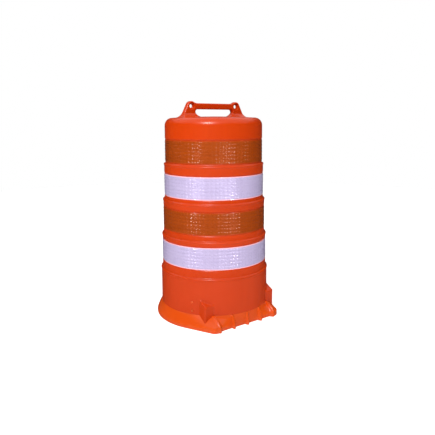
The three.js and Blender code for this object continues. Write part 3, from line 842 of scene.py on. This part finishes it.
n = len(turns)
wall_start = len(net_points)
inner_start = wall_start + n * len(outer)
pole = inner_start + n * len(inner)
vertices = np.concatenate([net_points, *outer, *inner, [[0, 0, SHOULDER_TOP + CROWN - WALL - 1]]])
faces = net_faces.tolist()
faces += grid_faces(outer, wall_start)
faces += grid_faces(inner, inner_start, flip=True)
faces += stitch(list(range(inner_start - n, inner_start)), turns, seam.tolist(), seam_angle)
for i in range(n):
    j = (i + 1) % n
    faces.append((wall_start + j, wall_start + i, inner_start + i, inner_start + j))
faces += fan(pole - n, n, pole)
shell = sharpen(object_from("shell", vertices, faces, shell_plastic), 48)
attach(shell, "drum")
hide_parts("drum_shell")
report(shell)

# %% [markdown]
# ## The sheeting bands
# A band is a strip of sheet wrapped round its panel, with its end lapped over its start at the back.
# The strip carries its own map in metres. The pillowed cells repeat six high and some eighty round,
# so Geometry Nodes lay them: a grid of points is rolled into a cylinder, and one cell stands on
# each point, turned to face outwards.

# %% Band sheets
BAND_NAMES = ["orange_band_upper", "white_band_upper", "orange_band_lower", "white_band_lower"]
SHEET_THICK, SHEET_OUT, LAP, LAP_CLIMB = 1.2, 0.8, 28.0, 0.6


def sheet_radius(tier, z):
    """The sheet's outer face, just inside the tier's own radius."""
    return tier_radius(tier, z) - SHEET_OUT


def map_band(obj, tier):
    """A map in metres: along the band from the back, and up from its lower edge."""
    radius, low = TIER_RADIUS[tier] * MM, band_low(tier) * MM
    layer = obj.data.uv_layers.new(name="sheet")
    for face in obj.data.polygons:
        middle = face.center
        facing = math.atan2(middle.x, -middle.y)
        for loop in face.loop_indices:
            co = obj.data.vertices[obj.data.loops[loop].vertex_index].co
            turn = math.atan2(co.x, -co.y)
            turn += 2 * math.pi * round((facing - turn) / (2 * math.pi))
            layer.data[loop].uv = (turn * radius, co.z - low)


def band_sheet(tier):
    """One closed strip: a section swept round, whose last stretch climbs over its first."""
    low, high = band_low(tier), band_high(tier)
    half_lap = LAP / 2 / TIER_RADIUS[tier]
    turns = np.linspace(-np.pi - half_lap, np.pi + half_lap, 242)
    climb = LAP_CLIMB * smooth_step(turns, np.pi - half_lap * 1.6, np.pi - half_lap)
    rings = []
    for turn, lift in zip(turns, climb):
        section = []
        for z, depth in ((low, 0), (high, 0), (high, SHEET_THICK), (low, SHEET_THICK)):
            r = sheet_radius(tier, z) + lift - depth
            section.append((r * math.sin(turn), -r * math.cos(turn), z))
        rings.append(section)
    vertices = np.array(rings).reshape(-1, 3)
    faces = []
    for k in range(len(rings) - 1):
        for i in range(4):
            j = (i + 1) % 4
            a, b = 4 * k, 4 * (k + 1)
            faces.append((a + i, b + i, b + j, a + j))
    faces += [(0, 1, 2, 3), tuple(4 * (len(rings) - 1) + i for i in (3, 2, 1, 0))]
    return vertices, faces


# %% [markdown]
# One cell is a low cushion: its middle is 0.95 mm above its sealed border, and its rise is quick
# near the border and flat on top, as film over a gas-filled cell looks.

# %% Cell shape and the tree that lays the cells
ROWS, CELL_WIDE, CELL_RISE, CELL_SINK, SEAL_GAP = 6, 18.0, 0.95, 0.2, 1.3


def cell_template(wide, tall, across=4, up=6):
    """One cushion, drawn flat, with a closed underside that sinks into the sheet."""
    xs, zs = np.linspace(-1, 1, across + 1), np.linspace(-1, 1, up + 1)
    points = []
    for x in xs:
        for z in zs:
            swell = (1 - x**6) * (1 - z**2) ** 0.8
            points.append((x * wide / 2, z * tall / 2, CELL_RISE * swell))
    index = np.arange(len(points)).reshape(across + 1, up + 1)
    corners = (index[:-1, :-1], index[1:, :-1], index[1:, 1:], index[:-1, 1:])
    faces = np.stack(corners, -1).reshape(-1, 4).tolist()
    rim = [*index[:-1, 0], *index[-1, :-1], *index[:0:-1, -1], *index[0, :0:-1]]
    lower = len(points)
    points += [(points[k][0], points[k][1], -CELL_SINK) for k in rim]
    count = len(rim)
    for k in range(count):
        m = (k + 1) % count
        faces.append((rim[m], rim[k], lower + k, lower + m))
    faces.append(tuple(lower + k for k in range(count - 1, -1, -1)))
    return object_from("cell", points, faces)


class CopyTree(Tree):
    """A Geometry Nodes tree with named inputs, that lays copies of a template on points."""

    def __init__(self, name, **inputs):
        super().__init__(bpy.data.node_groups.new(name, "GeometryNodeTree"))
        socket, labels = self.tree.interface.new_socket, ["Geometry"]
        socket("Geometry", in_out="INPUT", socket_type="NodeSocketGeometry")
        for label, kind in inputs.items():
            labels.append(label.replace("_", " "))
            socket(labels[-1], in_out="INPUT", socket_type="NodeSocket" + kind)
        socket("Geometry", in_out="OUTPUT", socket_type="NodeSocketGeometry")
        given = self.tree.nodes.new("NodeGroupInput").outputs
        self.given = {label: Link(self, given[label]) for label in labels}

    def finish(self, template, material, **sockets):
        """The copies, made real and given one material."""
        sockets["Instance"] = self.node("GeometryNodeObjectInfo", {"Object": template}, out="Geometry")
        laid = self.node("GeometryNodeInstanceOnPoints", sockets)
        real = self.node("GeometryNodeRealizeInstances", {0: laid})
        done = self.node("GeometryNodeSetMaterial", {"Geometry": real, "Material": material})
        self.node("NodeGroupOutput", {0: done})
        return self.tree


def cells_tree(template, material):
    """Rolls a grid of points into a cylinder and stands one cell on each point."""
    t = CopyTree(
        "lay_cells",
        Radius_at_foot="Float",
        Draft="Float",
        Lowest_row="Float",
        Row_pitch="Float",
        Rows="Int",
        Columns="Int",
        Start_angle="Float",
        Waviness="Float",
        Seed="Int",
    )
    columns = t.given["Columns"]
    line = t.node("GeometryNodeMeshLine", {"Count": t.given["Rows"] * columns})
    number = t.node("GeometryNodeInputIndex")
    row = t.math("FLOOR", number / columns)
    column = number - row * columns
    turn = column * (2 * math.pi) / columns + t.given["Start angle"]
    rise = row * t.given["Row pitch"]
    height = t.given["Lowest row"] + rise
    radius = t.given["Radius at foot"] - rise * t.given["Draft"]
    x, y = radius * t.math("SINE", turn), radius * -1.0 * t.math("COSINE", turn)
    spot = t.node("ShaderNodeCombineXYZ", {0: x, 1: y, 2: height})
    rolled = t.node("GeometryNodeSetPosition", {"Geometry": line, "Position": spot})
    # The sheet is a little wavy, so each column of cells faces a little to one side.
    sockets = {"ID": column, "Seed": t.given["Seed"]}
    wave = t.node("FunctionNodeRandomValue", sockets, out=1, data_type="FLOAT")
    heading = turn + (wave - 0.5) * t.given["Waviness"]
    # The cell is drawn flat: its own Z has to point outwards and its Y up.
    tilt = t.node("ShaderNodeCombineXYZ", {0: math.pi / 2, 1: 0.0, 2: heading})
    return t.finish(template, material, Points=rolled, Rotation=tilt)


def run_tree(name, tree, values, points=()):
    """The tree's result as a plain mesh object. Inputs are set by their identifiers."""
    made = object_from(name, points, [])
    modifier = made.modifiers.new("tree", "NODES")
    modifier.node_group = tree
    for item in tree.interface.items_tree:
        if item.item_type == "SOCKET" and item.in_out == "INPUT" and item.name in values:
            modifier[item.identifier] = values[item.name]
    return applied(made)


def joined(name, parts):
    """One object from several meshes at the origin. Maps are kept."""
    bpy.ops.object.select_all(action="DESELECT")
    for part in parts:
        part.select_set(True)
    bpy.context.view_layer.objects.active = parts[0]
    bpy.ops.object.join()
    parts[0].name = parts[0].data.name = name
    return parts[0]


# %% Make the four bands
row_pitch = (BAND_HEIGHT / MM - 2 * SEAL / MM) / ROWS
for tier, band_name in enumerate(BAND_NAMES):
    material = white_sheeting if band_name.startswith("white") else orange_sheeting
    strip = sharpen(object_from(band_name + "_strip", *band_sheet(tier), material), 40)
    columns = round(2 * math.pi * TIER_RADIUS[tier] / CELL_WIDE)
    wide = 2 * math.pi * TIER_RADIUS[tier] / columns - SEAL_GAP * 0.7
    template = cell_template(wide, row_pitch - SEAL_GAP)
    first = band_low(tier) + SEAL / MM + row_pitch / 2
    values = {
        "Radius at foot": (sheet_radius(tier, first) + 0.02) * MM,
        "Draft": DRAFT / RIDGE_PITCH,
        "Lowest row": first * MM,
        "Row pitch": row_pitch * MM,
        "Rows": ROWS,
        "Columns": columns,
        "Start angle": math.pi / columns,
        "Waviness": math.radians(5.0),
        "Seed": 11 + 7 * tier,
    }
    cells = sharpen(run_tree(band_name + "_cells", cells_tree(template, material), values), 50)
    bpy.data.objects.remove(template)
    band = joined(band_name + "_sheet", [strip, cells])
    map_band(band, tier)
    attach(band, "drum")
    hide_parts(band_name)
    report(band)

# %% [markdown]
# ## The base
# The base is a low pan. Every direction from its axis has the same section: a floor, a collar that
# the shell drops over, a ledge that it stands on, and a skirt that slopes out to a rim. Only the
# sizes change with the direction, so rings of points describe it too. On the flat side four
# pockets are pressed in between the ribs, and the collar is cut down where the clips pass.

# %% Base
COLLAR, PAN, COLLAR_TOP, WINDOW_FLOOR, PAN_FLOOR = 256.1, 252.1, 88.0, 65.0, 5.0
POCKETS, RIB_PITCH, RIB_WIDE, POCKET_DROP, BASE_WALL = 4, 79.0, 13.0, 11.0, 4.0
RIB_LIFT, RIB_CREST, FLAT_SIDE = 6.0, 5.5, -150
FLOOR_MIDDLE = 120.0
base_turns = spread_angles(
    [(-180, -66, 2.0), (-66, -36, 0.75), (-36, 36, 0.4), (36, 66, 0.75), (66, 180, 2.0)]
)


def pocket_mask(x, y):
    """1 in the middle of a pocket, 0 on the ribs and everywhere off the flat side."""
    mask = np.zeros_like(x)
    half = (RIB_PITCH - RIB_WIDE) / 2
    for i in range(POCKETS):
        off = np.abs(x - RIB_PITCH * (i - (POCKETS - 1) / 2))
        mask = np.maximum(mask, 1 - smooth_step(off, half - 2.0, half + 2.0))
    return mask * (y < FLAT_SIDE)


def rib_crest(x, y):
    """1 along the middle of each rib, falling off smoothly to 0."""
    crest = np.zeros_like(x)
    for i in range(POCKETS + 1):
        off = (x - RIB_PITCH * (i - POCKETS / 2)) / RIB_CREST
        crest = np.maximum(crest, np.exp(-(off**2)))
    return crest * (y < FLAT_SIDE)


def level(radius, z):
    """A ring of points at the base's directions."""
    return ring(base_turns, radius, z)


def skirt_ring(angle, inset=0.0, drop=0.0):
    """One ring of the skirt. The angle runs from the rim, 0, up to the wall, a right angle."""
    share, up = math.cos(angle) ** FULLNESS, math.sin(angle) ** FULLNESS
    rings = []
    for grow in (0.0, -10.0) if not inset else (-4.0, -14.0):
        radius = FOOT_RADIUS - inset + (reach(base_turns, grow) - FOOT_RADIUS + inset) * share
        z = rim_height(base_turns) + (LEDGE - rim_height(base_turns)) * up - drop
        rings.append(level(radius, z))
    full, pressed = rings
    pressed[:, 2] -= POCKET_DROP * smooth_step(share, 0.0, 0.12) * up
    mask = pocket_mask(full[:, 0], full[:, 1])[:, None]
    raised = full + (pressed - full) * mask
    if not inset:
        lift = RIB_LIFT * rib_crest(full[:, 0], full[:, 1]) * float(smooth_step(share, 0.0, 0.15))
        raised[:, 2] += lift * up**0.5
        raised[:, 1] -= lift * (1 - up)
    return raised


rings = [level(r, 0.0) for r in (FLOOR_MIDDLE, 225.0, COLLAR - 1.5)]
rings += [level(COLLAR, z) for z in (1.5, 30.0, LEDGE - BASE_WALL - 4)]
for a in np.linspace(math.pi / 2, 0, 7):
    rings.append(skirt_ring(a, BASE_WALL, BASE_WALL))
inside_foot = rings[-1].copy()
inside_foot[:, 2] = 1.0
rings.append(inside_foot)
foot = skirt_ring(0.0)
for inset, z in ((3.4, 0.0), (2.6, 0.0), (1.2, 0.7), (0.3, 2.4), (0.0, 6.0)):
    lower = foot.copy()
    lower[:, :2] *= (1 - inset / np.hypot(foot[:, 0], foot[:, 1]))[:, None]
    lower[:, 2] = z
    rings.append(lower)
rings += [skirt_ring(a) for a in (*np.linspace(0, 1.3, 15), *np.linspace(1.34, math.pi / 2, 6))]
degrees = np.degrees(np.abs(base_turns))
window = smooth_step(degrees, 34.5, 36.0) * (1 - smooth_step(degrees, 64.0, 65.5))
lip = COLLAR_TOP + (WINDOW_FLOOR - COLLAR_TOP) * window
rise = [(COLLAR + 0.6, LEDGE), (COLLAR, LEDGE + 0.8), (COLLAR, lip - 1.2), (COLLAR - 0.5, lip - 0.3)]
over = [(COLLAR - 1.4, lip), (PAN + 1.4, lip), (PAN + 0.5, lip - 0.3), (PAN, lip - 1.2)]
well = [(PAN, PAN_FLOOR + 6), (PAN - 1.6, PAN_FLOOR + 1.8), (PAN - 6, PAN_FLOOR), (FLOOR_MIDDLE, PAN_FLOOR)]
rings += [level(radius, z) for radius, z in rise + over + well]
base = object_from("base_body", *stacked(rings, (0, 0, 0), (0, 0, PAN_FLOOR)), base_plastic)
print("base rings", len(rings), "of", len(base_turns), "points")

# %% [markdown]
# The two lock posts fill the shell's lock blocks from inside. Each is a short prism with a sloping
# top and a back that follows the collar. It is joined to the base with a boolean union.

# %% Lock posts
POST_BACK, POST_FIT, POST_LOW = 248.1, WALL + 1.2, 24.0


def lock_post(side):
    x, y = BLOCK_X - POST_FIT, BLOCK_Y - POST_FIT
    start = math.atan2(x, math.sqrt(POST_BACK**2 - x**2))
    end = math.atan2(math.sqrt(POST_BACK**2 - y**2), y)
    plan = [(POST_BACK * math.sin(a), -POST_BACK * math.cos(a)) for a in np.linspace(end, start, 12)]
    plan.append((x, -y))
    drop = POST_FIT * math.hypot(1, BLOCK_SLOPE) - BLOCK_SLOPE * POST_FIT
    count = len(plan)
    points = [(side * px, py, POST_LOW) for px, py in plan]
    points += [(side * px, py, BLOCK_LOW + BLOCK_SLOPE * (py + BLOCK_Y) - drop) for px, py in plan]
    faces = [tuple(range(count)), tuple(range(2 * count - 1, count - 1, -1))]
    for i in range(count):
        j = (i + 1) % count
        faces.append((i, i + count, j + count, j))
    post = object_from(f"post_{side}", points, faces, base_plastic)
    face_outwards(post)
    bevel = post.modifiers.new("bevel", "BEVEL")
    bevel.width, bevel.segments, bevel.limit_method = 2.0 * MM, 3, "ANGLE"
    return applied(post)


for side in (-1, 1):
    post = lock_post(side)
    union = base.modifiers.new("post", "BOOLEAN")
    union.operation, union.solver, union.object = "UNION", "EXACT", post
    applied(base)
    bpy.data.objects.remove(post)
sharpen(base, 40)
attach(base, "base")
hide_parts("base_pan")
report(base)

# %% [markdown]
# ## Ballast rings
# Each ring is a thick pressed pad. Its edges are rounded, and shallow grooves run out from the hand
# hole so that two rings don't stick together.

# %% Ballast
BORE, GROOVES, GROOVE_DEEP, PAD_GAP = 45.0, 12, 2.0, 0.3


def groove(radius, outside, turns):
    """How deep the grooves are on a circle. They stop short of both edges."""
    span = smooth_step(radius, BORE + 8, BORE + 20) * (1 - smooth_step(radius, outside - 30, outside - 14))
    return GROOVE_DEEP * span * smooth_step(np.cos(turns * GROOVES), 0.75, 0.95)


def ballast(node):
    low, high = (v.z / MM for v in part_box(node))
    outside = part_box(node)[1].x / MM - PAD_GAP
    corners = [(outside, low), (outside, high), (BORE, high), (BORE, low)]
    section = rounded([(BORE + 60, low), *corners, (BORE + 60.001, low)], 4.0, 4)[1:-1]
    turns = np.linspace(0, 2 * np.pi, 192, endpoint=False)
    rings = []
    for radius, z in section:
        dip = smooth_step(z, high - 3, high - 0.5) * groove(radius, outside, turns)
        rings.append(np.column_stack([radius * np.cos(turns), radius * np.sin(turns), z - dip]))
    fine = []
    for a, b in zip(rings, rings[1:] + rings[:1]):
        radius_a, radius_b = np.hypot(*a[0, :2]), np.hypot(*b[0, :2])
        steps = max(1, round(abs(radius_b - radius_a) / 12))
        for k in range(steps):
            between = a + (b - a) * k / steps
            radius = radius_a + (radius_b - radius_a) * k / steps
            if steps > 1 and between[0, 2] > (low + high) / 2:
                between[:, 2] = high - groove(radius, outside, turns)
            fine.append(between)
    fine.append(fine[0])
    made = object_from(node + "_pad", np.concatenate(fine), grid_faces(fine, 0), rubber)
    face_outwards(made)
    sharpen(made, 50)
    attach(made, "base")
    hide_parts(node)
    report(made)


for node in ("ballast_ring_lower", "ballast_ring_upper"):
    ballast(node)

# %% [markdown]
# ## Rivets
# Four push rivets hold the clips. One rivet is drawn by turning a section, and Geometry Nodes
# place it on four points, each turned to point away from the axis.

# %% Rivets
def turned_section(name, section, segments):
    """A closed solid of revolution about Z. The section starts and ends on the axis."""
    turns = np.linspace(0, 2 * np.pi, segments, endpoint=False)
    rings = [
        np.column_stack([r * np.cos(turns), r * np.sin(turns), np.full(segments, z)])
        for r, z in section[1:-1]
    ]
    return object_from(name, *stacked(rings, (0, 0, section[0][1]), (0, 0, section[-1][1])))


def place_outwards_tree(template, material):
    """One copy of the template on each point, its Z axis pointing away from the drum's axis."""
    t = CopyTree("place_outwards", Scale="Float")
    spot = t.node("GeometryNodeInputPosition")
    flat_out = t.node("ShaderNodeVectorMath", {0: spot, 1: (1, 1, 0)}, operation="MULTIPLY")
    turn = t.node("FunctionNodeAlignRotationToVector", {"Vector": flat_out}, axis="Z")
    return t.finish(template, material, Points=t.given["Geometry"], Rotation=turn, Scale=t.given["Scale"])


RIVET_NODES = [f"rivet_{side}_{level}" for side in ("left", "right") for level in ("lower", "upper")]
head_low, head_high, shank = 0.4, 3.4, 2.5
section = [(0, -9.2), (3.0, -9.2), (4.4, -7.2), (shank, -6.8), (shank, head_low), (4.7, head_low)]
section += [(5.0 * math.cos(a), 0.9 + (head_high - 0.9) * math.sin(a)) for a in np.linspace(0, 1.45, 9)]
section.append((0, head_high))
template = turned_section("rivet", section, 28)
centres = []
for node in RIVET_NODES:
    low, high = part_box(node)
    middle = (low + high) / 2
    turn = math.atan2(middle.y, middle.x)
    centres.append((math.cos(turn) * FOOT_RADIUS, math.sin(turn) * FOOT_RADIUS, middle.z / MM))
tree = place_outwards_tree(template, rivet_plastic)
rivets = sharpen(run_tree("rivets", tree, {"Scale": 1.0}, centres), 40)
bpy.data.objects.remove(template)
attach(rivets, "drum")
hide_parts(*RIVET_NODES)
report(rivets)

# %% [markdown]
# ## Spring clips
# The clips are flat strip, bent twice, so the solids already have their shape. They only need the
# steel finish.

# %% Clips
for node in ("spring_clip_left", "spring_clip_right"):
    clip = frame["nodes"][node]
    clip.data.materials.clear()
    clip.data.materials.append(steel)
    print(node, "finish", steel.name)

# %% [markdown]
# ## Floor and light
# The floor is pale and has a faint glow of its own. One very large soft light hangs overhead, and
# a smaller key light stands in front and a little to the left. Seven small lights shine on the
# sheeting alone, for the glints on its cells. The surround is bright only where the camera sees
# it, so the drum keeps its contrast.

# %% Floor and lights
FLOOR_RADIUS = 5200
f = Finish("pale_floor")
paper = f.mix(f.noise(f.place(), 3.0, 2.0), (0.9, 0.9, 0.9, 1), (0.94, 0.94, 0.94, 1))
pale_floor = f.finish(Base_Color=paper, Roughness=0.9, Emission_Color=paper, Emission_Strength=0.6)
edge = [(FLOOR_RADIUS * math.cos(a), FLOOR_RADIUS * math.sin(a), 0) for a in np.arange(64) * np.pi / 32]
floor = object_from("floor", edge, [tuple(range(64))], pale_floor)
floor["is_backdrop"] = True
floor.visible_glossy = False


def soft_light(name, azimuth, elevation, distance, size, power, tint):
    """An area light that looks at the middle of the drum. Azimuth is as in the camera's frame."""
    data = bpy.data.lights.new(name, "AREA")
    data.shape, data.size, data.size_y = "RECTANGLE", size[0], size[1]
    data.energy, data.color = power, tint
    light = add_object(name, data)
    a, e = math.radians(azimuth) - TURN, math.radians(elevation)
    out = Vector((math.sin(a) * math.cos(e), -math.cos(a) * math.cos(e), math.sin(e)))
    light.location = Vector((0, 0, 0.5)) + out * distance
    light.rotation_euler = out.to_track_quat("Z", "Y").to_euler()
    light.visible_camera = False
    return light


soft_light("overhead", 0, 90, 4.0, (11.0, 11.0), 360, (1.0, 1.0, 1.0))
soft_light("key", -14, 42, 4.6, (1.1, 0.8), 165, (1.0, 0.96, 0.95))

sheets = bpy.data.collections.new("sheets")
for band_name in BAND_NAMES:
    sheets.objects.link(bpy.data.objects[band_name + "_sheet"])
GLINTS = (  # azimuth and elevation in degrees, and watts
    (-84, 18, 4.0),
    (-41, -6, 7.0),
    (-30, 18, 3.0),
    (17, -3, 3.0),
    (22, 18, 3.0),
    (41, -6, 7.0),
    (76, 18, 4.0),
)
for i, (azimuth, elevation, power) in enumerate(GLINTS):
    light = soft_light(f"glint_{i}", azimuth, elevation, 3.0, (0.2, 0.14), power, (1.0, 0.97, 1.0))
    light.light_linking.receiver_collection = sheets

world = bpy.data.worlds.new("surround")
bpy.context.scene.world = world
world.use_nodes = True
surround, seen = Tree(world.node_tree), None
for ray, strength in ((None, 0.06), ("Is Glossy Ray", 0.02), ("Is Camera Ray", 1.0)):
    shade = surround.node("ShaderNodeBackground", {0: (1, 1, 1, 1), 1: strength})
    if ray:
        share = surround.node("ShaderNodeLightPath", out=ray)
        shade = surround.node("ShaderNodeMixShader", {0: share, 1: seen, 2: shade})
    seen = shade
surround.node("ShaderNodeOutputWorld", {0: seen})
bpy.context.scene.view_settings.view_transform = "Standard"

# %% Measure the visual box and finish
low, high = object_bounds()
print("visual box", [round(v, 4) for v in (*low, *high)])
